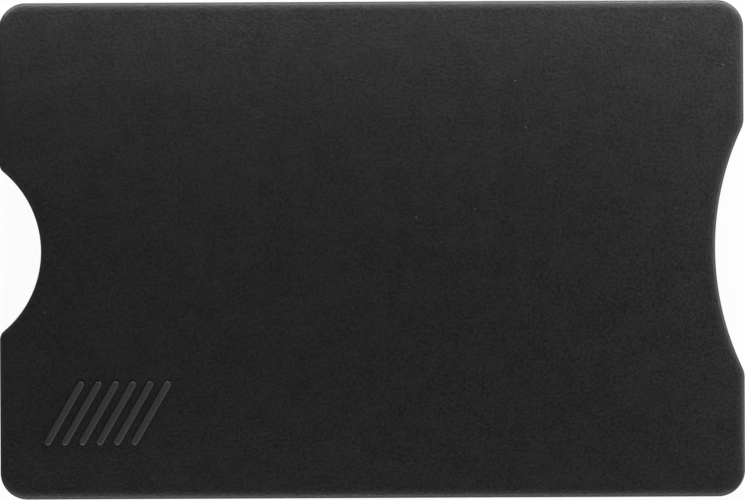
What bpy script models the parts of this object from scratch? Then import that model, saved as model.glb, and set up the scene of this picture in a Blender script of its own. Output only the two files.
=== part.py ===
"""Rigid holder for one contactless card: two moulded shells, welded together along their rims,
with an aluminium shielding sheet bonded inside each of them.

The holder lies on its back. X runs along it, from the closed end at -X to the open mouth at +X,
and Z runs up through the front face. The origin is under the middle of the back. Lengths are in metres.

Each shell is modelled from the seam between the two, with its outer face up, and the back one is turned over.
"""

import math

import bmesh
import bpy
from mathutils import Matrix

# The card that the pocket takes
CARD_LENGTH = 0.0856
CARD_WIDTH = 0.05398
CARD_SIDE_CLEARANCE = 0.00026

# Walls round the pocket
SIDE_WALL = 0.00275
END_WALL = 0.0025
FACE_WALL = 0.0013
POCKET_HEIGHT = 0.0014
POCKET_CORNER_RADIUS = 0.0010
MOUTH_SETBACK = 0.0019

# Outside edges
CORNER_RADIUS = 0.0033
EDGE_FILLET = 0.0010

# Deep notch through the closed end, where a thumb pushes the card out
PUSH_NOTCH_DEPTH = 0.0050
PUSH_NOTCH_RADIUS = 0.0125
PUSH_NOTCH_BLEND = 0.0015

# Wide shallow notch through the mouth, where two fingers grip the card
GRIP_NOTCH_DEPTH = 0.0035
GRIP_NOTCH_RADIUS = 0.0339
GRIP_NOTCH_BLEND = 0.0020

# Flare that leads the card in between the two walls of the mouth
FLARE_LENGTH = 0.0008
FLARE_RISE = 0.0002
FLARE_END_MARGIN = 0.0003

# Shielding sheets in their shallow recesses
SHIELD_THICKNESS = 0.0001
SHIELD_RECESS = 0.00045
SHIELD_END_LAND = 0.0014
SHIELD_SIDE_LAND = 0.0010
SHIELD_CORNER_RADIUS = 0.0020

# Weld tongues on the back shell's rim, in grooves of the front shell's rim
TONGUE_WIDTH = 0.0007
TONGUE_HEIGHT = 0.0008
TONGUE_MOUTH_MARGIN = 0.0020
TONGUE_NOTCH_MARGIN = 0.0015

# Clearance between pieces that seat on each other
SEAT_GAP = 0.0003

# Low ribs inside the mouth that hold the card by friction
RIB_LENGTH = 0.0030
RIB_WIDTH = 0.0008
RIB_HEIGHT = 0.0003
RIB_RECESS_MARGIN = 0.0007
RIB_PLACE_SHARES = (0.34, 0.42)

# Raised slanted bars in a lower corner of the front face
BAR_COUNT = 6
BAR_LENGTH = 0.0088
BAR_WIDTH = 0.00085
BAR_HEIGHT = 0.00025
BAR_PITCH = 0.0021
BAR_SLANT = math.radians(30.0)
BAR_CENTRE_X = -0.0320
BAR_CENTRE_Y = -0.0196

# How far a cutter runs past what it cuts, and how deep a raised form is rooted
OVERRUN = 0.0010
ROOT = 0.0002

# Steps along the arcs, and the part of a low bar's height that its rounded edge takes
CORNER_STEPS = 8
NOTCH_STEPS = 20
BLEND_STEPS = 4
BAR_END_STEPS = 6
FILLET_SEGMENTS = 4
BAR_ROUND_SEGMENTS = 2
BAR_ROUND_SHARE = 0.6
SHARP_EDGE = math.radians(30.0)

# Sizes that follow from those above, with heights measured from the seam
POCKET_WIDTH = CARD_WIDTH + 2 * CARD_SIDE_CLEARANCE
HALF_LENGTH = (END_WALL + CARD_LENGTH + MOUTH_SETBACK) / 2
HALF_WIDTH = POCKET_WIDTH / 2 + SIDE_WALL
RIM_LEVEL = SEAT_GAP / 2
ROOF_LEVEL = POCKET_HEIGHT / 2
RECESS_LEVEL = ROOF_LEVEL + SHIELD_RECESS
FACE_LEVEL = ROOF_LEVEL + FACE_WALL
TONGUE_LEVEL = TONGUE_HEIGHT - RIM_LEVEL
RECESS_LEFT = -HALF_LENGTH + PUSH_NOTCH_DEPTH + SHIELD_END_LAND
RECESS_RIGHT = HALF_LENGTH - GRIP_NOTCH_DEPTH - SHIELD_END_LAND
QUARTER = math.pi / 2


def clear_scene():
    for item in list(bpy.data.objects):
        bpy.data.objects.remove(item, do_unlink=True)


def arc(centre_x, centre_y, radius, start, end, steps):
    """Points along an arc, both ends included, with the angles in radians."""
    points = []
    for step in range(steps + 1):
        angle = start + (end - start) * step / steps
        points.append((centre_x + radius * math.cos(angle), centre_y + radius * math.sin(angle)))
    return points


def notch(depth, radius, blend):
    """A notch in the +X end, from -Y to +Y, with x measured outwards from the end.

    The notch is an arc, and a smaller arc at each side blends it into the straight end.
    """
    centre_x = radius - depth
    blend_y = math.sqrt((radius + blend) ** 2 - (centre_x + blend) ** 2)
    lean = math.atan2(blend_y, centre_x + blend)
    points = arc(-blend, -blend_y, blend, 0.0, lean, BLEND_STEPS)
    points += arc(centre_x, 0.0, radius, math.pi + lean, math.pi - lean, NOTCH_STEPS)[1:]
    points += arc(-blend, blend_y, blend, -lean, 0.0, BLEND_STEPS)[1:]
    return points


def holder_outline():
    """The holder seen from the front, counterclockwise from the notch in its mouth."""
    corner_x = HALF_LENGTH - CORNER_RADIUS
    corner_y = HALF_WIDTH - CORNER_RADIUS
    grip_notch = notch(GRIP_NOTCH_DEPTH, GRIP_NOTCH_RADIUS, GRIP_NOTCH_BLEND)
    push_notch = notch(PUSH_NOTCH_DEPTH, PUSH_NOTCH_RADIUS, PUSH_NOTCH_BLEND)
    points = [(HALF_LENGTH + x, y) for x, y in grip_notch]
    points += arc(corner_x, corner_y, CORNER_RADIUS, 0.0, QUARTER, CORNER_STEPS)
    points += arc(-corner_x, corner_y, CORNER_RADIUS, QUARTER, 2 * QUARTER, CORNER_STEPS)
    points += [(-HALF_LENGTH - x, -y) for x, y in push_notch]
    points += arc(-corner_x, -corner_y, CORNER_RADIUS, 2 * QUARTER, 3 * QUARTER, CORNER_STEPS)
    points += arc(corner_x, -corner_y, CORNER_RADIUS, 3 * QUARTER, 4 * QUARTER, CORNER_STEPS)
    return points


def rounded_rectangle(left, right, half_width, radius):
    """A rectangle with round corners, counterclockwise, with its middle line on the X axis."""
    low_x = left + radius
    high_x = right - radius
    corner_y = half_width - radius
    points = arc(high_x, -corner_y, radius, -QUARTER, 0.0, CORNER_STEPS)
    points += arc(high_x, corner_y, radius, 0.0, QUARTER, CORNER_STEPS)
    points += arc(low_x, corner_y, radius, QUARTER, 2 * QUARTER, CORNER_STEPS)
    points += arc(low_x, -corner_y, radius, 2 * QUARTER, 3 * QUARTER, CORNER_STEPS)
    return points


def stadium(length, width):
    """A bar with round ends, counterclockwise, lengthwise along X."""
    radius = width / 2
    middle = length / 2 - radius
    points = arc(middle, 0.0, radius, -QUARTER, QUARTER, BAR_END_STEPS)
    points += arc(-middle, 0.0, radius, QUARTER, 3 * QUARTER, BAR_END_STEPS)
    return points


def tongue_outline(width):
    """The weld tongue of the +Y side: along the side wall from the mouth, round the corner, to the notch."""
    radius = width / 2
    line_x = -HALF_LENGTH + END_WALL / 2
    line_y = HALF_WIDTH - SIDE_WALL / 2
    bend_radius = CORNER_RADIUS - END_WALL / 2
    bend_x = line_x + bend_radius
    bend_y = line_y - bend_radius
    mouth_x = HALF_LENGTH - TONGUE_MOUTH_MARGIN
    notch_half = math.sqrt(PUSH_NOTCH_RADIUS ** 2 - (PUSH_NOTCH_RADIUS - PUSH_NOTCH_DEPTH) ** 2)
    points = arc(mouth_x, line_y, radius, -QUARTER, QUARTER, BAR_END_STEPS)
    points += arc(bend_x, bend_y, bend_radius + radius, QUARTER, 2 * QUARTER, CORNER_STEPS)
    points += arc(line_x, notch_half + TONGUE_NOTCH_MARGIN, radius, 2 * QUARTER, 4 * QUARTER, BAR_END_STEPS)
    points += arc(bend_x, bend_y, bend_radius - radius, 2 * QUARTER, QUARTER, CORNER_STEPS)
    return points


def add_prism(bm, outline, bottom, top):
    """Adds a closed prism over an outline and gives back its top face."""
    floor = bm.faces.new([bm.verts.new((x, y, bottom)) for x, y in outline])
    lifted = bmesh.ops.extrude_face_region(bm, geom=[floor])["geom"]
    lifted_verts = [item for item in lifted if isinstance(item, bmesh.types.BMVert)]
    bmesh.ops.translate(bm, verts=lifted_verts, vec=(0.0, 0.0, top - bottom))
    return next(item for item in lifted if isinstance(item, bmesh.types.BMFace))


def round_face(bm, face, radius, segments):
    """Gives the edges round a face a quarter-circle fillet."""
    edges = list(face.edges)
    bmesh.ops.bevel(bm, geom=edges, offset=radius, offset_type="OFFSET", segments=segments, profile=0.5,
                    affect="EDGES", clamp_overlap=False, material=-1)


def add_bar(bm, length, width, height, place):
    """Adds a low bar with round ends and a rounded top, rooted in the face that it stands on."""
    known = set(bm.verts)
    top = add_prism(bm, stadium(length, width), -ROOT, height)
    round_face(bm, top, height * BAR_ROUND_SHARE, BAR_ROUND_SEGMENTS)
    bmesh.ops.transform(bm, matrix=place, verts=[vert for vert in bm.verts if vert not in known])


def finish_object(name, bm, parent):
    """Turns a bmesh into a named object whose faces point outwards."""
    bmesh.ops.recalc_face_normals(bm, faces=bm.faces)
    mesh = bpy.data.meshes.new(name)
    bm.to_mesh(mesh)
    bm.free()
    item = bpy.data.objects.new(name, mesh)
    item.parent = parent
    bpy.context.scene.collection.objects.link(item)
    return item


def dress(item, material):
    """Gives a piece its material and smooth round stretches."""
    item.data.materials.append(material)
    item.data.shade_smooth()
    item.data.set_sharp_from_angle(angle=SHARP_EDGE)


def combine(shell, tool, operation):
    """Lets a hidden tool object cut its shell or join it."""
    tool.hide_render = True
    tool.display_type = "WIRE"
    modifier = shell.modifiers.new(tool.name, "BOOLEAN")
    modifier.operation = operation
    modifier.solver = "EXACT"
    modifier.object = tool


def plain_material(name, colour, roughness, metallic):
    material = bpy.data.materials.new(name)
    material.use_nodes = True
    shader = material.node_tree.nodes["Principled BSDF"]
    shader.inputs["Base Color"].default_value = (*colour, 1.0)
    shader.inputs["Roughness"].default_value = roughness
    shader.inputs["Metallic"].default_value = metallic
    return material


def shell_blank(name, holder):
    """A shell before its cuts: the holder's outline with a fillet round the outer face."""
    bm = bmesh.new()
    face = add_prism(bm, holder_outline(), RIM_LEVEL, FACE_LEVEL)
    round_face(bm, face, EDGE_FILLET, FILLET_SEGMENTS)
    return finish_object(name, bm, holder)


def pocket(shell):
    """One half of the card's pocket, which runs out through the mouth."""
    bm = bmesh.new()
    past_mouth = HALF_LENGTH + OVERRUN + POCKET_CORNER_RADIUS
    outline = rounded_rectangle(-HALF_LENGTH + END_WALL, past_mouth, POCKET_WIDTH / 2, POCKET_CORNER_RADIUS)
    add_prism(bm, outline, RIM_LEVEL - OVERRUN, ROOF_LEVEL)
    return finish_object(shell.name + "_pocket", bm, shell)


def shield_outline(inset):
    """The recess of a shielding sheet, or the sheet itself when it is drawn in by its clearance."""
    half_width = POCKET_WIDTH / 2 - SHIELD_SIDE_LAND - inset
    return rounded_rectangle(RECESS_LEFT + inset, RECESS_RIGHT - inset, half_width, SHIELD_CORNER_RADIUS - inset)


def shield_recess(shell):
    bm = bmesh.new()
    add_prism(bm, shield_outline(0.0), RIM_LEVEL - OVERRUN, RECESS_LEVEL)
    return finish_object(shell.name + "_recess", bm, shell)


def mouth_edge(outset):
    """The mouth's edge from one side of the pocket to the other, moved outwards by outset."""
    side_y = POCKET_WIDTH / 2 - FLARE_END_MARGIN
    end_x = HALF_LENGTH + outset
    curve = notch(GRIP_NOTCH_DEPTH, GRIP_NOTCH_RADIUS - outset, GRIP_NOTCH_BLEND + outset)
    return [(end_x, -side_y)] + [(end_x + x, y) for x, y in curve] + [(end_x, side_y)]


def mouth_flare(shell):
    """A wedge swept along the mouth's edge, which slopes the wall's inner side away from the card."""
    slope = FLARE_RISE / FLARE_LENGTH
    low = ROOF_LEVEL - ROOT
    high = ROOF_LEVEL + FLARE_RISE + OVERRUN * slope
    corners = ((-FLARE_LENGTH - ROOT / slope, low), (OVERRUN, low), (OVERRUN, high))
    bm = bmesh.new()
    rows = [[bm.verts.new((x, y, level)) for x, y in mouth_edge(outset)] for outset, level in corners]
    for row, next_row in zip(rows, rows[1:] + rows[:1]):
        for first, second in zip(range(len(row)), range(1, len(row))):
            bm.faces.new((row[first], row[second], next_row[second], next_row[first]))
    for end in (0, -1):
        bm.faces.new([row[end] for row in rows])
    return finish_object(shell.name + "_flare", bm, shell)


def friction_ribs(shell):
    """Ribs on the land inside the mouth, two on each side of the notch, that press on the card."""
    bm = bmesh.new()
    hanging = Matrix.Rotation(math.pi, 4, "X")
    x = RECESS_RIGHT + RIB_RECESS_MARGIN + RIB_LENGTH / 2
    for share in RIB_PLACE_SHARES:
        for side_y in (-share * POCKET_WIDTH, share * POCKET_WIDTH):
            place = Matrix.Translation((x, side_y, ROOF_LEVEL)) @ hanging
            add_bar(bm, RIB_LENGTH, RIB_WIDTH, RIB_HEIGHT, place)
    return finish_object(shell.name + "_ribs", bm, shell)


def weld_tracks(name, shell, width, bottom, top):
    """The tongues of both sides, or the grooves that take them."""
    bm = bmesh.new()
    outline = tongue_outline(width)
    add_prism(bm, outline, bottom, top)
    add_prism(bm, [(x, -y) for x, y in outline], bottom, top)
    return finish_object(name, bm, shell)


def slanted_bars(shell):
    bm = bmesh.new()
    turn = Matrix.Rotation(QUARTER - BAR_SLANT, 4, "Z")
    for index in range(BAR_COUNT):
        x = BAR_CENTRE_X + (index - (BAR_COUNT - 1) / 2) * BAR_PITCH
        add_bar(bm, BAR_LENGTH, BAR_WIDTH, BAR_HEIGHT, Matrix.Translation((x, BAR_CENTRE_Y, FACE_LEVEL)) @ turn)
    return finish_object("bars", bm, shell)


def make_shell(name, holder, material):
    """What both shells share: outline, half pocket, shield recess, flared mouth and friction ribs."""
    shell = shell_blank(name, holder)
    dress(shell, material)
    combine(shell, pocket(shell), "DIFFERENCE")
    combine(shell, shield_recess(shell), "DIFFERENCE")
    combine(shell, mouth_flare(shell), "DIFFERENCE")
    combine(shell, friction_ribs(shell), "UNION")
    return shell


def make_front_shell(holder, material):
    shell = make_shell("front_shell", holder, material)
    groove_width = TONGUE_WIDTH + 2 * SEAT_GAP
    groove = weld_tracks("grooves", shell, groove_width, RIM_LEVEL - OVERRUN, TONGUE_LEVEL + SEAT_GAP)
    combine(shell, groove, "DIFFERENCE")
    combine(shell, slanted_bars(shell), "UNION")


def make_back_shell(holder, material):
    shell = make_shell("back_shell", holder, material)
    shell.rotation_euler.x = math.pi
    tongue = weld_tracks("tongues", shell, TONGUE_WIDTH, -TONGUE_LEVEL, RIM_LEVEL + ROOT)
    combine(shell, tongue, "UNION")


def make_shield(name, holder, material, turn):
    """A shielding sheet under the roof of its recess, turned over with the shell that it is bonded to."""
    bm = bmesh.new()
    top = RECESS_LEVEL - SEAT_GAP
    add_prism(bm, shield_outline(SEAT_GAP), top - SHIELD_THICKNESS, top)
    sheet = finish_object(name, bm, holder)
    dress(sheet, material)
    sheet.rotation_euler.x = turn


def build():
    clear_scene()
    holder = bpy.data.objects.new("holder", None)
    bpy.context.scene.collection.objects.link(holder)
    holder.location.z = FACE_LEVEL
    make_front_shell(holder, plain_material("front_plastic", (0.020, 0.020, 0.021), 0.55, 0.0))
    make_back_shell(holder, plain_material("back_plastic", (0.018, 0.018, 0.019), 0.55, 0.0))
    make_shield("front_shield", holder, plain_material("front_foil", (0.78, 0.79, 0.80), 0.35, 1.0), 0.0)
    make_shield("back_shield", holder, plain_material("back_foil", (0.76, 0.77, 0.78), 0.38, 1.0), math.pi)


build()
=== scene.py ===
import math

import bmesh
import bpy
from bmesh.types import BMEdge, BMFace, BMVert
from mathutils import Matrix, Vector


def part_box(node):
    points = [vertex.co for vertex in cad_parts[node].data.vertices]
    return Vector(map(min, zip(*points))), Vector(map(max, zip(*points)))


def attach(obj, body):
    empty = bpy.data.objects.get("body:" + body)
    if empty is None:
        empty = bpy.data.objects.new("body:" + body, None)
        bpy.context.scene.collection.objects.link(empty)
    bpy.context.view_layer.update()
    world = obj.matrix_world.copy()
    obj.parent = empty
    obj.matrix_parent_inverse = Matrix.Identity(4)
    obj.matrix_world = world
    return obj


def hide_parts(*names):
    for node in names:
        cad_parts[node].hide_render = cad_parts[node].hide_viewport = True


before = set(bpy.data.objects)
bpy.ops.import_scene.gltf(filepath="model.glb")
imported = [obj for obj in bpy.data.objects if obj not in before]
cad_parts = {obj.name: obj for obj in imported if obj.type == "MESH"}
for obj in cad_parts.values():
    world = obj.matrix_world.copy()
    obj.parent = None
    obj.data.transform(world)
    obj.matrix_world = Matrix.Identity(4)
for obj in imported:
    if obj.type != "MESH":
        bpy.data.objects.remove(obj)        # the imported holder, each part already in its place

mm = 0.001
weldDistance = 0.0005 * mm        # vertices nearer than this are one vertex
sharpAngle = math.radians(33)
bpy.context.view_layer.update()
print("frame loaded:", ", ".join(sorted(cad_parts)))


# Drawing with a vertex

def pick(items, kind):        # the vertices, edges or faces among what an operator made
    return [item for item in items if isinstance(item, kind)]


def startAt(bm, x, y):
    return bmesh.ops.create_vert(bm, co=(x, y, 0))["vert"][0]


def lineTo(bm, vert, x, y):        # draws a straight run and gives back its end
    end = bmesh.ops.extrude_vert_indiv(bm, verts=[vert])["verts"]
    bmesh.ops.translate(bm, verts=end, vec=(x - vert.co.x, y - vert.co.y, 0))
    return end[0]


def arcTo(bm, vert, centreX, centreY, turn, steps):        # swings the vertex round a centre, in degrees
    made = bmesh.ops.spin(bm, geom=[vert], cent=(centreX, centreY, 0), axis=(0, 0, 1),
                          angle=math.radians(turn), steps=steps, use_merge=False, use_duplicate=False)
    return pick(made["geom_last"], BMVert)[0]


def closeOutline(bm):        # mirrors the half that was drawn at +Y and fills the ring
    bmesh.ops.mirror(bm, geom=bm.verts[:] + bm.edges[:], matrix=Matrix(), merge_dist=weldDistance, axis="Y")
    bmesh.ops.remove_doubles(bm, verts=bm.verts, dist=weldDistance)
    return bmesh.ops.contextual_create(bm, geom=bm.edges[:])["faces"][0]


def raiseFaces(bm, faces, low, high):        # turns flat faces into a closed block between two levels
    bmesh.ops.translate(bm, verts=list({vert for face in faces for vert in face.verts}), vec=(0, 0, low))
    made = bmesh.ops.extrude_face_region(bm, geom=faces)["geom"]
    bmesh.ops.translate(bm, verts=pick(made, BMVert), vec=(0, 0, high - low))
    return pick(made, BMFace)


def roundEdges(bm, edges, radius, segments):
    bmesh.ops.bevel(bm, geom=edges, offset=radius, offset_type="OFFSET", segments=segments, profile=0.5,
                    affect="EDGES", clamp_overlap=False, material=-1)


def highestFace(bm):
    return max(bm.faces, key=lambda face: face.calc_center_median().z)


def lowestFace(bm):
    return min(bm.faces, key=lambda face: face.calc_center_median().z)


def makeObject(name, bm):        # closes a bmesh into an object with its faces outwards
    bmesh.ops.recalc_face_normals(bm, faces=bm.faces)
    mesh = bpy.data.meshes.new(name)
    bm.to_mesh(mesh)
    bm.free()
    item = bpy.data.objects.new(name, mesh)
    bpy.context.scene.collection.objects.link(item)
    return item


def applyTools(item, tools):        # cuts or joins each tool in turn, keeps the result and drops the tools
    for operation, tool in tools:
        modifier = item.modifiers.new(tool.name, "BOOLEAN")
        modifier.operation = operation
        modifier.solver = "EXACT"
        modifier.object = tool
    depsgraph = bpy.context.evaluated_depsgraph_get()
    mesh = bpy.data.meshes.new_from_object(item.evaluated_get(depsgraph))
    item.modifiers.clear()
    item.data = mesh
    for operation, tool in tools:
        bpy.data.objects.remove(tool)


def finishPiece(item, place, material):        # last weld, then its place, shading, material and body
    bm = bmesh.new()
    bm.from_mesh(item.data)
    bmesh.ops.remove_doubles(bm, verts=bm.verts, dist=weldDistance)
    bmesh.ops.dissolve_degenerate(bm, edges=bm.edges, dist=weldDistance)
    bmesh.ops.transform(bm, matrix=place, verts=bm.verts)
    bm.to_mesh(item.data)
    bm.free()
    item.data.shade_smooth()
    item.data.set_sharp_from_angle(angle=sharpAngle)
    item.data.materials.clear()
    item.data.materials.append(material)
    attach(item, "root")
    print("made", item.name, len(item.data.polygons), "faces")


# The shells, drawn from the seam up

shell = {
    "halfLength": 45.0 * mm,
    "halfWidth": 30.0 * mm,
    "sideWall": 2.75 * mm,
    "endWall": 2.5 * mm,
    "cornerRadius": 3.3 * mm,
    "cornerSteps": 24,
    "seamLevel": 0.05 * mm,       # half of the fine gap along the seam
    "roofLevel": 0.7 * mm,        # half of the card pocket's height
    "faceLevel": 2.0 * mm,
    "breakRadius": 0.12 * mm,     # fine break from the side to the rim
    "breakSegments": 5,
    "rimSlope": 36,               # the narrow rim, in degrees, and how far in it goes
    "rimReach": 0.24 * mm,
    "bendRadius": 0.15 * mm,      # from the rim to the crown
    "bendSegments": 3,
    "crownSlope": 20,             # the low crown where it leaves the rim, and how far in it goes
    "crownReach": 0.8 * mm,
    "crownSegments": 12,
    "seamBreak": 0.09 * mm,       # tiny round-over on both sides of the seam
    "seamSegments": 3,
    "faceMargin": 0.12 * mm,      # a flat band that keeps the face's shading flat
    "overrun": 1.0 * mm,          # how far a cutting tool goes past what it cuts
    "root": 0.15 * mm,            # how deep a raised form starts inside its shell
}
thumbNotch = {"depth": 5.0 * mm, "radius": 12.5 * mm, "blend": 1.5 * mm, "steps": 40, "blendSteps": 10}
gripNotch = {"depth": 3.5 * mm, "radius": 33.9 * mm, "blend": 3.0 * mm, "steps": 44, "blendSteps": 10}
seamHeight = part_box("back_shell")[0].z + shell["faceLevel"]        # the holder lies on its back


def notchMeeting(notch):        # how far out a notch's arc meets its blend, and at what angle
    middle = notch["radius"] - notch["depth"]
    rise = math.sqrt((notch["radius"] + notch["blend"]) ** 2 - (middle + notch["blend"]) ** 2)
    return rise, math.degrees(math.atan2(rise, middle + notch["blend"]))


def drawShell(bm):        # half the outline, from the middle of the mouth to the middle of the closed end
    endX, sideY = shell["halfLength"], shell["halfWidth"]
    corner, steps = shell["cornerRadius"], shell["cornerSteps"]
    rise, lean = notchMeeting(gripNotch)
    vert = startAt(bm, endX - gripNotch["depth"], 0)
    vert = arcTo(bm, vert, endX - gripNotch["depth"] + gripNotch["radius"], 0, -lean, gripNotch["steps"])
    vert = arcTo(bm, vert, endX - gripNotch["blend"], rise, lean, gripNotch["blendSteps"])
    vert = lineTo(bm, vert, endX, sideY - corner)
    vert = arcTo(bm, vert, endX - corner, sideY - corner, 90, steps)
    vert = lineTo(bm, vert, corner - endX, sideY)
    vert = arcTo(bm, vert, corner - endX, sideY - corner, 90, steps)
    rise, lean = notchMeeting(thumbNotch)
    vert = lineTo(bm, vert, -endX, rise)
    vert = arcTo(bm, vert, thumbNotch["blend"] - endX, rise, lean, thumbNotch["blendSteps"])
    arcTo(bm, vert, thumbNotch["depth"] - thumbNotch["radius"] - endX, 0, -lean, thumbNotch["steps"])
    return closeOutline(bm)


def arcSteps(radius, first, last, count):        # steps in and up while an arc's slope falls
    slopes = [first + (last - first) * index / count for index in range(count + 1)]
    return [(radius * (math.sin(steep) - math.sin(low)), radius * (math.cos(low) - math.cos(steep)))
            for steep, low in zip(slopes, slopes[1:])]


def edgeSteps():        # the outer edge's profile, from the side in: break, rim, bend and crown
    rim, crown = math.radians(shell["rimSlope"]), math.radians(shell["crownSlope"])
    steps = arcSteps(shell["breakRadius"], math.pi / 2, rim, shell["breakSegments"])
    steps.append((shell["rimReach"], shell["rimReach"] * math.tan(rim)))
    steps += arcSteps(shell["bendRadius"], rim, crown, shell["bendSegments"])
    return steps + arcSteps(shell["crownReach"] / math.sin(crown), crown, 0, shell["crownSegments"])


def makeBlank(name):        # the moulding before its pocket, its face drawn in and up step by step
    bm = bmesh.new()
    steps = edgeSteps()
    sideTop = shell["faceLevel"] - sum(rise for reach, rise in steps)
    raiseFaces(bm, [drawShell(bm)], shell["seamLevel"], sideTop)
    bmesh.ops.recalc_face_normals(bm, faces=bm.faces)
    roundEdges(bm, lowestFace(bm).edges[:], shell["seamBreak"], shell["seamSegments"])
    for reach, rise in steps + [(shell["faceMargin"], 0)]:
        bmesh.ops.inset_region(bm, faces=[highestFace(bm)], thickness=reach, depth=rise, use_even_offset=True)
    return makeObject(name, bm)


# The pocket and the recess of the shielding sheet

pocket = {
    "cornerRadius": 1.0 * mm,
    "cornerSteps": 10,
    "rootRadius": 0.25 * mm,      # inside fillet between the roof and the side walls
    "rootSegments": 5,
    "lipRadius": 0.25 * mm,       # lead-in along the mouth
    "lipSegments": 6,
    "notchBreak": 0.12 * mm,      # small break where the thumb notch opens the pocket
    "notchSegments": 3,
    "upright": 0.02,              # a wall whose normal rises less than this is upright
    "outward": 0.3,               # and one whose normal points this far along the holder faces an end
}
recess = {
    "clearance": 0.12 * mm,       # round the sheet's edges
    "cornerRadius": 1.8 * mm,
    "cornerSteps": 12,
    "bond": 0.02 * mm,            # between the sheet and its shell
}


def drawRectangle(bm, left, right, halfWidth, radius, steps):
    vert = startAt(bm, right, 0)
    vert = lineTo(bm, vert, right, halfWidth - radius)
    vert = arcTo(bm, vert, right - radius, halfWidth - radius, 90, steps)
    vert = lineTo(bm, vert, left + radius, halfWidth)
    vert = arcTo(bm, vert, left + radius, halfWidth - radius, 90, steps)
    lineTo(bm, vert, left, 0)
    return closeOutline(bm)


def makePocketTool():        # from the end wall to past the mouth
    bm = bmesh.new()
    left = shell["endWall"] - shell["halfLength"]
    right = shell["halfLength"] + shell["overrun"] + pocket["cornerRadius"]
    halfWidth = shell["halfWidth"] - shell["sideWall"]
    face = drawRectangle(bm, left, right, halfWidth, pocket["cornerRadius"], pocket["cornerSteps"])
    raiseFaces(bm, [face], -shell["overrun"], shell["roofLevel"])
    roundEdges(bm, highestFace(bm).edges[:], pocket["rootRadius"], pocket["rootSegments"])
    return makeObject("pocket_tool", bm)


def makeRecessTool(low, high):        # round the sheet with a little room, and up to its bonded side
    bm = bmesh.new()
    room = recess["clearance"]
    face = drawRectangle(bm, low.x - room, high.x + room, high.y + room,
                         recess["cornerRadius"], recess["cornerSteps"])
    sheetTop = max(high.z - seamHeight, seamHeight - low.z)
    raiseFaces(bm, [face], -shell["overrun"], sheetTop + recess["bond"])
    return makeObject("recess_tool", bm)


def opensPocket(edge):        # a sharp edge of the pocket that doesn't run along the seam
    low, high = sorted(vert.co.z for vert in edge.verts)
    if edge.calc_face_angle(0) < sharpAngle:
        return False
    if low < shell["seamLevel"] - weldDistance or high > shell["roofLevel"] + weldDistance:
        return False
    return high - low >= weldDistance or low >= shell["roofLevel"] - pocket["rootRadius"] - weldDistance


def roundLips(item):        # lead-in round the mouth, and a small break at the thumb notch
    bm = bmesh.new()
    bm.from_mesh(item.data)
    bmesh.ops.remove_doubles(bm, verts=bm.verts, dist=weldDistance)
    bm.normal_update()
    mouth, thumb = [], []
    for edge in filter(opensPocket, bm.edges):
        facing = [face.normal.x for face in edge.link_faces if abs(face.normal.z) < pocket["upright"]]
        middleX = (edge.verts[0].co.x + edge.verts[1].co.x) / 2
        if middleX > 0 and max(facing, default=0) > pocket["outward"]:
            mouth.append(edge)
        elif middleX < 0 and min(facing, default=0) < -pocket["outward"]:
            thumb.append(edge)
    roundEdges(bm, mouth, pocket["lipRadius"], pocket["lipSegments"])
    roundEdges(bm, thumb, pocket["notchBreak"], pocket["notchSegments"])
    bm.to_mesh(item.data)
    bm.free()
    print("rounded the lips of", item.name)


# Low pads: the friction ribs and the slanted bars

ribs = {
    "length": 3.0 * mm,
    "width": 0.8 * mm,
    "height": 0.3 * mm,
    "fromMouth": 2.7 * mm,        # from the end of the shell to a rib's middle
    "offMiddle": (18.53 * mm, 22.89 * mm),
    "steps": 20,
    "roundShare": 0.8,            # how much of the height its rounded top takes
    "segments": 5,
}
bars = {
    "count": 6,
    "length": 8.8 * mm,
    "width": 0.85 * mm,
    "height": 0.25 * mm,
    "pitch": 2.1 * mm,
    "slant": 30,                  # degrees from upright
    "centre": (-32.0 * mm, -19.6 * mm),
    "steps": 28,
    "roundShare": 0.8,
    "segments": 6,
}


def addPad(bm, form, place):        # a low pad with round ends and a rounded top, rooted below its foot
    known = set(bm.verts)
    circle = bmesh.ops.create_circle(bm, cap_ends=True, radius=form["width"] / 2, segments=form["steps"],
                                     matrix=Matrix.Rotation(math.pi / form["steps"], 4, "Z"))["verts"]
    for side in (1, -1):
        stretch = side * (form["length"] - form["width"]) / 2
        bmesh.ops.translate(bm, verts=[vert for vert in circle if side * vert.co.x > 0], vec=(stretch, 0, 0))
    top = raiseFaces(bm, [circle[0].link_faces[0]], -shell["root"], form["height"])
    roundEdges(bm, top[0].edges[:], form["height"] * form["roundShare"], form["segments"])
    bmesh.ops.transform(bm, matrix=place, verts=[vert for vert in bm.verts if vert not in known])


def makeRibs():        # two on each side of the mouth, hanging from the pocket's roof
    bm = bmesh.new()
    turned = Matrix.Rotation(math.pi, 4, "X")
    x = shell["halfLength"] - ribs["fromMouth"]
    for y in ribs["offMiddle"]:
        for side in (-1, 1):
            addPad(bm, ribs, Matrix.Translation((x, side * y, shell["roofLevel"])) @ turned)
    return makeObject("ribs_tool", bm)


def makeBars():
    bm = bmesh.new()
    turned = Matrix.Rotation(math.radians(90 - bars["slant"]), 4, "Z")
    centreX, centreY = bars["centre"]
    for index in range(bars["count"]):
        x = centreX + (index - (bars["count"] - 1) / 2) * bars["pitch"]
        addPad(bm, bars, Matrix.Translation((x, centreY, shell["faceLevel"])) @ turned)
    return makeObject("bars_tool", bm)


# Weld tongues and the grooves that take them, along the middle of the walls

tongue = {
    "width": 0.7 * mm,
    "top": 0.65 * mm,             # how far it reaches past the seam
    "clearance": 0.05 * mm,
    "mouthMargin": 2.0 * mm,
    "notchMargin": 1.5 * mm,
    "bendSteps": 14,
}


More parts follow.
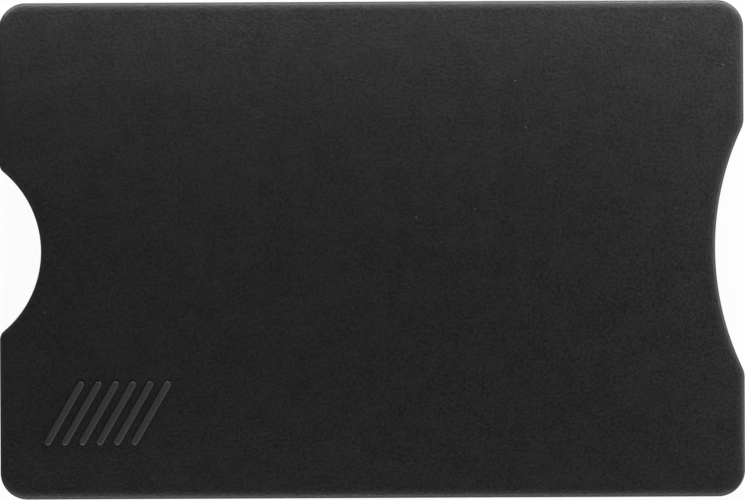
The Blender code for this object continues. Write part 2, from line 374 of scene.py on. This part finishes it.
def makeTracks(name, width, bottom, top):        # a ribbon along the side, round the corner and to the notch
    bm = bmesh.new()
    lineX = shell["endWall"] / 2 - shell["halfLength"]
    lineY = shell["halfWidth"] - shell["sideWall"] / 2
    bend = shell["cornerRadius"] - shell["endWall"] / 2
    notchHalf = math.sqrt(thumbNotch["radius"] ** 2 - (thumbNotch["radius"] - thumbNotch["depth"]) ** 2)
    startX = shell["halfLength"] - tongue["mouthMargin"]
    first = startAt(bm, startX, lineY - width / 2)
    lineTo(bm, first, startX, lineY + width / 2)
    side = bmesh.ops.extrude_edge_only(bm, edges=bm.edges[:])["geom"]
    bmesh.ops.translate(bm, verts=pick(side, BMVert), vec=(lineX + bend - startX, 0, 0))
    corner = bmesh.ops.spin(bm, geom=pick(side, (BMVert, BMEdge)), cent=(lineX + bend, lineY - bend, 0),
                            axis=(0, 0, 1), angle=math.pi / 2, steps=tongue["bendSteps"],
                            use_merge=False, use_duplicate=False)["geom_last"]
    end = bmesh.ops.extrude_edge_only(bm, edges=pick(corner, BMEdge))["geom"]
    fall = lineY - bend - notchHalf - tongue["notchMargin"]
    bmesh.ops.translate(bm, verts=pick(end, BMVert), vec=(0, -fall, 0))
    bmesh.ops.remove_doubles(bm, verts=bm.verts, dist=weldDistance)
    bmesh.ops.mirror(bm, geom=bm.verts[:] + bm.edges[:] + bm.faces[:], matrix=Matrix(),
                     merge_dist=weldDistance, axis="Y")
    raiseFaces(bm, bm.faces[:], bottom, top)
    return makeObject(name, bm)


# Materials

mixFirst, mixSecond, mixResult = 6, 7, 2        # a Mix node's colour sockets


def addNode(tree, kind, x, y, values=None, **settings):
    node = tree.nodes.new(kind)
    node.location = (x, y)
    for name, value in settings.items():
        setattr(node, name, value)
    for name, value in (values or {}).items():
        node.inputs[name].default_value = value
    return node


def wire(tree, *pairs):
    for source, target in pairs:
        tree.links.new(source, target)


def addRange(tree, x, y, low, high, toLow=0.0, toHigh=1.0, kind="LINEAR"):
    values = {"From Min": low, "From Max": high, "To Min": toLow, "To Max": toHigh}
    return addNode(tree, "ShaderNodeMapRange", x, y, values, interpolation_type=kind)


def addMath(tree, x, y, operation, first, second=None):        # each operand is a socket or a number
    node = addNode(tree, "ShaderNodeMath", x, y, operation=operation)
    for index, operand in enumerate((first, second)):
        if isinstance(operand, bpy.types.NodeSocket):
            wire(tree, (operand, node.inputs[index]))
        elif operand is not None:
            node.inputs[index].default_value = operand
    return node.outputs[0]


def multiplyAll(tree, x, y, first, *others):        # keeps what all the masks keep
    product = first
    for index, other in enumerate(others):
        product = addMath(tree, x + 150 * index, y, "MULTIPLY", product, other)
    return product


def addColourMix(tree, x, y, factor, first, second):        # each colour is a socket or a value
    node = addNode(tree, "ShaderNodeMix", x, y, data_type="RGBA")
    wire(tree, (factor, node.inputs["Factor"]))
    for index, colour in ((mixFirst, first), (mixSecond, second)):
        if isinstance(colour, bpy.types.NodeSocket):
            wire(tree, (colour, node.inputs[index]))
        else:
            node.inputs[index].default_value = (*colour, 1)
    return node.outputs[mixResult]


def addGroup(name, inputs, outputs):        # an empty group with its sockets and its two end nodes
    tree = bpy.data.node_groups.new(name, "ShaderNodeTree")
    for socketName, value in inputs.items():
        kind = "NodeSocketVector" if value is None else "NodeSocketFloat"
        socket = tree.interface.new_socket(socketName, in_out="INPUT", socket_type=kind)
        if value is not None:
            socket.default_value = value
    for socketName in outputs:
        tree.interface.new_socket(socketName, in_out="OUTPUT", socket_type="NodeSocketFloat")
    given = addNode(tree, "NodeGroupInput", -900, 0).outputs
    wanted = addNode(tree, "NodeGroupOutput", 900, 0).inputs
    return tree, given, wanted


def startMaterial(name):        # a new material, its nodes and its shader
    material = bpy.data.materials.new(name)
    material.use_nodes = True
    return material, material.node_tree, material.node_tree.nodes["Principled BSDF"]


def makeGrainGroup():        # eroded mould grain: a fine height, its tone with painted shade, and a slow cloudiness
    inputs = {"Vector": None, "Fine": 4.0, "Slow": 0.4}
    tree, given, wanted = addGroup("mouldGrain", inputs, ("Height", "ToneAndShade", "Cloud"))
    # the tone follows the fine height, so the grain's low spots come out darker: painted shade
    fine = addNode(tree, "ShaderNodeTexNoise", -600, 200, {"Detail": 1.0, "Roughness": 0.5})
    pits = addNode(tree, "ShaderNodeTexVoronoi", -600, -100, {"Smoothness": 1.0}, feature="SMOOTH_F1")
    cloud = addNode(tree, "ShaderNodeTexNoise", -600, -400, {"Detail": 4.0, "Roughness": 0.6})
    for texture, size in ((fine, "Fine"), (pits, "Fine"), (cloud, "Slow")):
        wire(tree, (given["Vector"], texture.inputs["Vector"]), (given[size], texture.inputs["Scale"]))
    depth = addMath(tree, -300, -100, "MULTIPLY", pits.outputs["Distance"], 0.6)
    height = addMath(tree, -100, 100, "ADD", fine.outputs["Fac"], depth)
    wire(tree, (height, wanted["Height"]), (fine.outputs["Fac"], wanted["ToneAndShade"]),
         (cloud.outputs["Fac"], wanted["Cloud"]))
    return tree


wearBands = {                     # a normal's height is 1 on the face and 0 on the sides
    "leavesFace": (0.97, 0.75),   # the line of wear begins where the face bends down
    "reachesSide": (0.05, 0.45),  # and ends before the side
    "rim": (0.99, 0.90),
    "broken": (0.35, 0.70),       # which patches lose the line, and which keep it whole
}


def makeWearGroup():        # worn edges: a broken line of wear, and the whole rim that handling has smoothed
    inputs = {"Vector": None, "Normal": None, "Patches": 0.6}
    tree, given, wanted = addGroup("edgeWear", inputs, ("Wear", "Rim"))
    parts = addNode(tree, "ShaderNodeSeparateXYZ", -700, 200)
    patches = addNode(tree, "ShaderNodeTexNoise", -700, -200, {"Detail": 4.0, "Roughness": 0.65})
    bands = [addRange(tree, -300, 500 - 250 * index, *wearBands[name], kind="SMOOTHSTEP")
             for index, name in enumerate(("leavesFace", "reachesSide", "rim"))]
    broken = addRange(tree, -300, -300, *wearBands["broken"])
    wire(tree, (given["Normal"], parts.inputs[0]), (given["Vector"], patches.inputs["Vector"]),
         (given["Patches"], patches.inputs["Scale"]), (patches.outputs["Fac"], broken.inputs["Value"]))
    height = addMath(tree, -500, 200, "ABSOLUTE", parts.outputs["Z"])
    for band in bands:
        wire(tree, (height, band.inputs["Value"]))
    leaving, reaching, rim = (band.outputs["Result"] for band in bands)
    wear = multiplyAll(tree, 0, 200, leaving, reaching, broken.outputs["Result"])
    wire(tree, (wear, wanted["Wear"]), (rim, wanted["Rim"]))
    return tree


markChances = {
    "flat": 0.9,                  # marks lie only where a normal's height is more than this
    "speckAbove": 0.66,           # a cell whose draw is above this holds a speck
    "lineBelow": 0.22,            # and one below this a hairline
}


def makeMarksGroup():        # some cells of a wide pattern hold a tiny speck, others a short hairline
    inputs = {"Vector": None, "Normal": None, "Spread": 0.16, "Radius": 0.10, "Length": 0.6, "Width": 0.02}
    tree, given, wanted = addGroup("handlingMarks", inputs, ("Speck", "Line"))
    cells = addNode(tree, "ShaderNodeTexVoronoi", -700, 100, {"Randomness": 1.0}, voronoi_dimensions="2D")
    chance = addNode(tree, "ShaderNodeSeparateXYZ", -500, -100)
    parts = addNode(tree, "ShaderNodeSeparateXYZ", -500, -400)
    offset = addNode(tree, "ShaderNodeVectorMath", -500, 300, operation="SUBTRACT")
    turned = addNode(tree, "ShaderNodeVectorRotate", -300, 300, rotation_type="Z_AXIS")
    line = addNode(tree, "ShaderNodeSeparateXYZ", -100, 300)
    turn = addMath(tree, -500, 150, "MULTIPLY", chance.outputs["Y"], 2 * math.pi)
    wire(tree, (given["Vector"], cells.inputs["Vector"]), (given["Spread"], cells.inputs["Scale"]),
         (cells.outputs["Color"], chance.inputs[0]), (given["Normal"], parts.inputs[0]),
         (given["Vector"], offset.inputs[0]), (cells.outputs["Position"], offset.inputs[1]),
         (offset.outputs["Vector"], turned.inputs["Vector"]), (turn, turned.inputs["Angle"]),
         (turned.outputs["Vector"], line.inputs[0]))
    height = addMath(tree, -300, -400, "ABSOLUTE", parts.outputs["Z"])
    flat = addMath(tree, -100, -400, "GREATER_THAN", height, markChances["flat"])
    across = addMath(tree, 100, 400, "ABSOLUTE", line.outputs["X"])
    along = addMath(tree, 100, 250, "ABSOLUTE", line.outputs["Y"])
    reach = addMath(tree, 100, 100, "MULTIPLY", chance.outputs["Z"], given["Length"])
    onWidth = addMath(tree, 300, 400, "LESS_THAN", across, given["Width"])
    onLength = addMath(tree, 300, 250, "LESS_THAN", along, reach)
    lineHere = addMath(tree, 300, 100, "LESS_THAN", chance.outputs["X"], markChances["lineBelow"])
    size = multiplyAll(tree, -100, -100, given["Radius"], given["Spread"], chance.outputs["Z"])
    onSpeck = addMath(tree, 300, -100, "LESS_THAN", cells.outputs["Distance"], size)
    speckHere = addMath(tree, 300, -250, "GREATER_THAN", chance.outputs["X"], markChances["speckAbove"])
    wire(tree, (multiplyAll(tree, 450, -100, onSpeck, speckHere, flat), wanted["Speck"]),
         (multiplyAll(tree, 450, 200, onWidth, onLength, lineHere, flat), wanted["Line"]))
    return tree


groups = {"grain": makeGrainGroup(), "wear": makeWearGroup(), "marks": makeMarksGroup()}
frontLook = {
    "grain": {"Fine": 3.2, "Slow": 0.35},        # patterns per mm
    "wear": {"Patches": 0.6},
    "marks": {
        "Spread": 0.16,           # cells per mm
        "Radius": 0.10,           # a speck's greatest, in mm
        "Length": 0.6,            # half of a hairline's greatest, in mm
        "Width": 0.02,            # half of a hairline's, in mm
    },
    # the grain's tone runs from dark to light: random, and darker in the grain's low spots as painted shade
    "dark": (0.0004, 0.0004, 0.0005),
    "light": (0.0100, 0.0100, 0.0103),
    "grainShare": 0.74,           # how much of the change is fine grain with its painted shade, the rest is slow cloud
    "contrast": (0.36, 0.64),     # where in the pattern the change begins and ends
    "worn": (0.0550, 0.0550, 0.0560),
    "edgeWear": 0.10,             # how much the line of wear shows
    "speck": (0.0900, 0.0900, 0.0880),
    "hairline": (0.0320, 0.0320, 0.0320),
    "specular": 0.5,
    "roughness": (0.54, 0.66),
    "wornRoughness": 0.36,
    "grainDepth": 0.040 * mm,
    "raised": (4.06, 4.18),       # in mm: between these a raised form turns from grained to rubbed
}
backLook = {**frontLook, "grain": {"Fine": 3.2, "Slow": 0.25}, "roughness": (0.52, 0.64)}


def makePlastic(name, look):        # black moulding: grain tone with painted shade, grained normal, rubbed edges, small marks
    material, tree, shader = startMaterial(name)
    shader.inputs["Specular IOR Level"].default_value = look["specular"]
    spots = addNode(tree, "ShaderNodeTexCoord", -1400, 0)
    scaled = addNode(tree, "ShaderNodeMapping", -1200, 0, {"Scale": (1 / mm, 1 / mm, 1 / mm)})
    parts = addNode(tree, "ShaderNodeSeparateXYZ", -900, -600)
    grain, wear, marks = (addNode(tree, "ShaderNodeGroup", -900, y, look[key], node_tree=groups[key])
                          for y, key in ((300, "grain"), (0, "wear"), (-300, "marks")))
    raised = addRange(tree, -700, -600, *look["raised"])
    # the fine grain's tone is random, and darker where its height is low: painted shade
    grainPart = addMath(tree, -800, 600, "MULTIPLY", grain.outputs["ToneAndShade"], look["grainShare"])
    cloudPart = addMath(tree, -800, 450, "MULTIPLY", grain.outputs["Cloud"], 1 - look["grainShare"])
    mixed = addMath(tree, -700, 500, "ADD", grainPart, cloudPart)
    tone = addRange(tree, -600, 400, *look["contrast"])
    rough = addRange(tree, -600, 100, *look["contrast"], *look["roughness"])
    bump = addNode(tree, "ShaderNodeBump", -200, -500, {"Distance": look["grainDepth"]})
    wire(tree, (spots.outputs["Object"], scaled.inputs["Vector"]), (scaled.outputs[0], parts.inputs[0]),
         (parts.outputs["Z"], raised.inputs["Value"]), (mixed, tone.inputs["Value"]),
         (mixed, rough.inputs["Value"]), (grain.outputs["Height"], bump.inputs["Height"]),
         (bump.outputs["Normal"], shader.inputs["Normal"]))
    for node in (grain, wear, marks):
        wire(tree, (scaled.outputs[0], node.inputs["Vector"]))
    for node in (wear, marks):
        wire(tree, (spots.outputs["Normal"], node.inputs["Normal"]))
    edges = addMath(tree, -600, -300, "MULTIPLY", wear.outputs["Wear"], look["edgeWear"])
    rubbed = addMath(tree, -500, -300, "MAXIMUM", edges, raised.outputs["Result"])
    polished = addMath(tree, -500, -450, "MAXIMUM", wear.outputs["Rim"], raised.outputs["Result"])
    smooth = addRange(tree, -200, 0, 0.0, 1.0, toHigh=look["wornRoughness"])
    # the grain colour, with its painted shade in the low spots
    base = addColourMix(tree, -300, 500, tone.outputs["Result"], look["dark"], look["light"])
    base = addColourMix(tree, -100, 400, rubbed, base, look["worn"])
    base = addColourMix(tree, 0, 300, marks.outputs["Line"], base, look["hairline"])
    base = addColourMix(tree, 100, 300, marks.outputs["Speck"], base, look["speck"])
    wire(tree, (polished, smooth.inputs["Value"]), (rough.outputs["Result"], smooth.inputs["To Min"]),
         (smooth.outputs["Result"], shader.inputs["Roughness"]), (base, shader.inputs["Base Color"]))
    return material


foilLook = {
    "dull": (0.62, 0.63, 0.64),
    "bright": (0.80, 0.81, 0.82),
    "contrast": (0.3, 0.7),
    "roughness": (0.26, 0.42),
    "lines": (0.05, 6.0, 6.0),    # patterns per mm: rolling lines run along the holder
    "lineDepth": 0.002 * mm,
}


def makeFoil():
    material, tree, shader = startMaterial("rolled_foil")
    shader.inputs["Metallic"].default_value = 1.0
    spots = addNode(tree, "ShaderNodeTexCoord", -1200, 0)
    scale = [line / mm for line in foilLook["lines"]]
    scaled = addNode(tree, "ShaderNodeMapping", -1000, 0, {"Scale": scale})
    lines = addNode(tree, "ShaderNodeTexNoise", -800, 0, {"Scale": 1.0, "Detail": 4.0, "Roughness": 0.7})
    tone = addRange(tree, -500, 200, *foilLook["contrast"])
    rough = addRange(tree, -500, -100, *foilLook["contrast"], *foilLook["roughness"])
    bump = addNode(tree, "ShaderNodeBump", -300, -300, {"Distance": foilLook["lineDepth"]})
    base = addColourMix(tree, -200, 200, tone.outputs["Result"], foilLook["dull"], foilLook["bright"])
    wire(tree, (spots.outputs["Object"], scaled.inputs["Vector"]),
         (scaled.outputs[0], lines.inputs["Vector"]), (lines.outputs["Fac"], tone.inputs["Value"]),
         (lines.outputs["Fac"], rough.inputs["Value"]), (lines.outputs["Fac"], bump.inputs["Height"]),
         (base, shader.inputs["Base Color"]), (rough.outputs["Result"], shader.inputs["Roughness"]),
         (bump.outputs["Normal"], shader.inputs["Normal"]))
    return material


# The pieces of the holder

upwards = Matrix.Translation((0, 0, seamHeight))
turnedOver = upwards @ Matrix.Rotation(math.pi, 4, "X")


def makeCover(name, sheet):        # a moulding with its pocket, the recess of its sheet and its lips
    cover = makeBlank(name)
    applyTools(cover, [("DIFFERENCE", makePocketTool()), ("DIFFERENCE", makeRecessTool(*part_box(sheet)))])
    roundLips(cover)
    return cover


front = makeCover("front_cover", "front_shield")
applyTools(front, [
    ("UNION", makeRibs()),
    ("DIFFERENCE", makeTracks("grooves_tool", tongue["width"] + 2 * tongue["clearance"], -shell["overrun"],
                              tongue["top"] + tongue["clearance"])),
    ("UNION", makeBars()),
])
finishPiece(front, upwards, makePlastic("front_plastic", frontLook))
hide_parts("front_shell")

back = makeCover("back_cover", "back_shield")
applyTools(back, [
    ("UNION", makeRibs()),
    ("UNION", makeTracks("tongues_tool", tongue["width"], -tongue["top"],
                         shell["seamLevel"] + shell["root"])),
])
finishPiece(back, turnedOver, makePlastic("back_plastic", backLook))
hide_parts("back_shell")

foil = makeFoil()
for name in ("front_shield", "back_shield"):
    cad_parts[name].material_slots[0].material = foil
print("shielding sheets dressed")


# Floor: a wide pale dish whose rim rises behind the holder in low views

floor = {        # in metres
    "rings": (0.1, 0.4, 2.4),     # radii of the flat part's rings
    "sweep": 0.5,                 # radius of the rising rim, and how far it turns up, in degrees
    "sweepTurn": 60,
    "sweepSteps": 12,
    "steps": 96,
    "weld": 0.1 * mm,
    "tone": (0.80, 0.80, 0.80),
    "roughness": 0.9,
    "whiteNear": 0.95,            # how much of the floor's white doesn't take the shadow, near the holder
    "nearReach": 0.05,            # up to here that holds
    "farReach": 0.12,             # and from here on none of it does
}


def dressFloor():        # pale under the lamps, white to the camera and in reflections
    material, tree, shader = startMaterial("studio_white")
    shader.inputs["Base Color"].default_value = (*floor["tone"], 1)
    shader.inputs["Roughness"].default_value = floor["roughness"]
    shader.inputs["Specular IOR Level"].default_value = 0.0
    white = addNode(tree, "ShaderNodeEmission", 0, -200)
    path = addNode(tree, "ShaderNodeLightPath", -600, 300)
    spots = addNode(tree, "ShaderNodeTexCoord", -900, 0)
    distance = addNode(tree, "ShaderNodeVectorMath", -700, 0, operation="LENGTH")
    reach = addRange(tree, -500, 0, floor["nearReach"], floor["farReach"], floor["whiteNear"], 1.0)
    mix = addNode(tree, "ShaderNodeMixShader", 300, 0)
    seen = addMath(tree, -300, 300, "MAXIMUM", path.outputs["Is Camera Ray"], path.outputs["Is Glossy Ray"])
    seen = addMath(tree, -100, 300, "MAXIMUM", seen, path.outputs["Is Transmission Ray"])
    share = addMath(tree, 100, 200, "MULTIPLY", seen, reach.outputs["Result"])
    wire(tree, (spots.outputs["Object"], distance.inputs[0]),
         (distance.outputs["Value"], reach.inputs["Value"]), (share, mix.inputs["Fac"]),
         (shader.outputs[0], mix.inputs[1]), (white.outputs[0], mix.inputs[2]),
         (mix.outputs[0], tree.nodes["Material Output"].inputs["Surface"]))
    return material


def makeFloor():
    bm = bmesh.new()
    vert = startAt(bm, 0, 0)
    for x in floor["rings"]:
        vert = lineTo(bm, vert, x, 0)
    bmesh.ops.spin(bm, geom=[vert], cent=(floor["rings"][-1], 0, floor["sweep"]), axis=(0, -1, 0),
                   angle=math.radians(floor["sweepTurn"]), steps=floor["sweepSteps"],
                   use_merge=False, use_duplicate=False)
    bmesh.ops.spin(bm, geom=bm.verts[:] + bm.edges[:], cent=(0, 0, 0), axis=(0, 0, 1), angle=2 * math.pi,
                   steps=floor["steps"], use_merge=True, use_duplicate=False)
    bmesh.ops.remove_doubles(bm, verts=bm.verts, dist=floor["weld"])
    item = makeObject("studio_floor", bm)
    item.data.shade_smooth()
    item.data.materials.append(dressFloor())


makeFloor()
print("floor laid")


# Soft studio light, all of it turned to the holder

lamps = [        # place and size in metres; level is the lamp's own brightness, where 1 is white
    {"name": "near_top", "place": (0.0, 0.055, 0.018), "size": (0.16, 0.02), "level": 4.4},
    {"name": "near_top_low", "place": (0.0, 0.045, 0.015), "size": (0.16, 0.012), "level": 2.4},
    {"name": "near_corner", "place": (0.06, 0.07, 0.03), "size": (0.10, 0.03), "level": 2.8},
    {"name": "near_right", "place": (0.06, 0.0, 0.015), "size": (0.06, 0.012), "level": 2.5},
    {"name": "near_bottom", "place": (0.0, -0.045, 0.015), "size": (0.16, 0.012), "level": 0.9},
    {"name": "low_right", "place": (0.45, 0.0, 0.04), "size": (0.60, 0.05), "level": 4.9},
    {"name": "low_bottom", "place": (0.0, -0.45, 0.04), "size": (0.60, 0.05), "level": 4.2},
    {"name": "high_bottom", "place": (0.0, -0.36, 0.28), "size": (0.60, 0.08), "level": 6.8},
    {"name": "high_left", "place": (-0.36, 0.0, 0.28), "size": (0.60, 0.08), "level": 1.3},
]
surround = {"colour": (1, 1, 1), "level": 0.01}


def addLamp(look):
    data = bpy.data.lights.new(look["name"], "AREA")
    data.shape = "RECTANGLE"
    data.size, data.size_y = look["size"]
    data.energy = look["level"] * math.pi * look["size"][0] * look["size"][1]
    lamp = bpy.data.objects.new(look["name"], data)
    lamp.location = look["place"]
    lamp.rotation_euler = (-lamp.location).to_track_quat("-Z", "Y").to_euler()
    lamp.visible_camera = False
    bpy.context.scene.collection.objects.link(lamp)


def makeWorld():
    world = bpy.data.worlds.new("studio")
    world.use_nodes = True
    background = world.node_tree.nodes["Background"]
    background.inputs["Color"].default_value = (*surround["colour"], 1)
    background.inputs["Strength"].default_value = surround["level"]
    bpy.context.scene.world = world


for look in lamps:
    addLamp(look)
makeWorld()
print("lamps placed:", len(lamps))


# Camera, straight above the front face

camera = {
    "lens": 300,                  # mm
    "sensor": 36,                 # mm
    "frameWidth": 90.07 * mm,     # what the picture takes in at the holder's upper edge
    "level": 3.3 * mm,            # that edge's height
    "offset": (0.084 * mm, -0.018 * mm),
    "roll": -0.27,                # degrees
}


def addCamera():
    data = bpy.data.cameras.new("camera")
    data.lens = camera["lens"]
    data.sensor_width = camera["sensor"]
    data.clip_start = 0.01
    distance = camera["frameWidth"] * camera["lens"] / camera["sensor"]
    item = bpy.data.objects.new("camera", data)
    item.location = (*camera["offset"], camera["level"] + distance)
    item.rotation_euler = (0, 0, math.radians(camera["roll"]))
    bpy.context.scene.collection.objects.link(item)
    bpy.context.scene.camera = item


addCamera()
bpy.context.scene.view_settings.view_transform = "Standard"
print("camera set")
